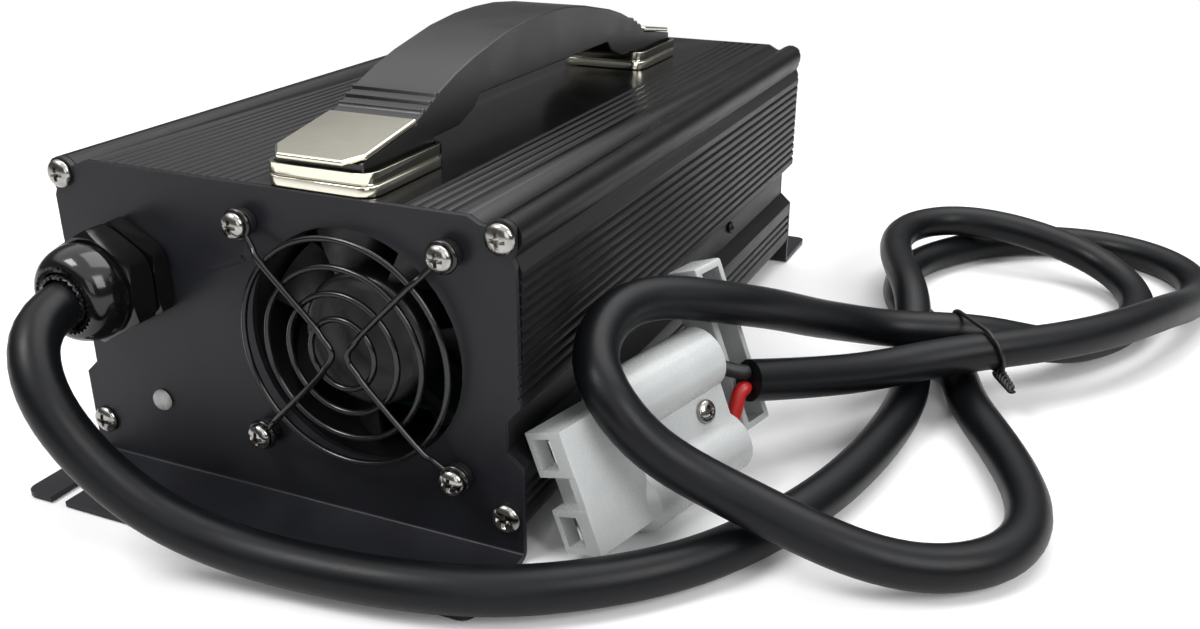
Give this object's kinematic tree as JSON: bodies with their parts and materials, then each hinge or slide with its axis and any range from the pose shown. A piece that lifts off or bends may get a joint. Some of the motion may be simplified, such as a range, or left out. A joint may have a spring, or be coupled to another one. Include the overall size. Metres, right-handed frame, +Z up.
{
  "type": "battery charger",
  "caption": "Portable battery charger with a ribbed aluminium case on bent feet, a fan behind a wire guard, a carry handle and an output lead with a two-pole connector.",
  "frame": {"origin": "centre of the base of the charger's body, at the underside of its feet", "axes": "+Z up, the fan end faces -Y, +X to the right seen from the fan end"},
  "size_m": [0.3676, 0.4274, 0.1446],
  "materials": {
    "case_enamel": "satin",
    "bright_steel": "bright plated",
    "dark_steel": "blackened",
    "nickel": "dull nickel plate",
    "satin_black": "satin",
    "fan_black": "satin",
    "rubber_black": "matte",
    "gland_black": "gloss",
    "lamp_clear": "milky",
    "connector_grey": "satin",
    "silver_contact": "silver plate",
    "red_jacket": "satin",
    "board_green": "satin",
    "core_grey": "matte",
    "can_blue": "gloss",
    "mill_aluminium": "mill"
  },
  "bodies": {
    "charger": {"board_standoff_1": "bright_steel", "board_standoff_2": "bright_steel", "board_standoff_3": "bright_steel", "board_standoff_4": "bright_steel", "cable_tie": "dark_steel", "capacitor_1": "can_blue", "capacitor_2": "can_blue", "case_shell": "case_enamel", "circuit_board": "board_green", "conductor_black": "rubber_black", "conductor_red": "red_jacket", "connector_bar": "connector_grey", "connector_contact_lower": "silver_contact", "connector_contact_upper": "silver_contact", "connector_housing": "connector_grey", "connector_screw": "bright_steel", "fan_frame": "fan_black", "fan_guard": "satin_black", "fan_screw_lower_left": "bright_steel", "fan_screw_lower_right": "bright_steel", "fan_screw_upper_left": "bright_steel", "fan_screw_upper_right": "bright_steel", "fan_spacer_lower_left": "rubber_black", "fan_spacer_lower_right": "rubber_black", "fan_spacer_upper_left": "rubber_black", "fan_spacer_upper_right": "rubber_black", "front_panel": "case_enamel", "front_screw_lower_left": "bright_steel", "front_screw_lower_right": "bright_steel", "front_screw_upper_left": "bright_steel", "front_screw_upper_right": "bright_steel", "gland_body": "gland_black", "gland_cap": "gland_black", "gland_locknut": "gland_black", "gland_seal": "rubber_black", "handle_cap_front": "nickel", "handle_cap_rear": "nickel", "handle_grip": "satin_black", "handle_screw_front_left": "dark_steel", "handle_screw_front_right": "dark_steel", "handle_screw_rear_left": "dark_steel", "handle_screw_rear_right": "dark_steel", "handle_tray_front": "nickel", "handle_tray_rear": "nickel", "heatsink_1": "mill_aluminium", "heatsink_2": "mill_aluminium", "inlet_screw_left": "bright_steel", "inlet_screw_right": "bright_steel", "lamp_lens": "lamp_clear", "output_cable": "rubber_black", "power_inlet": "satin_black", "rear_panel": "case_enamel", "rear_screw_lower_left": "bright_steel", "rear_screw_lower_right": "bright_steel", "rear_screw_upper_left": "bright_steel", "rear_screw_upper_right": "bright_steel", "side_screw_left": "dark_steel", "side_screw_right": "dark_steel", "transformer": "core_grey"},
    "impeller": {"fan_impeller": "fan_black"}
  },
  "joints": [
    {"name": "fan_spin", "type": "hinge", "parent": "charger", "child": "impeller", "pos_m": [0.0287, -0.1297, 0.0612], "axis": [0, 1, 0], "continuous": true}
  ]
}
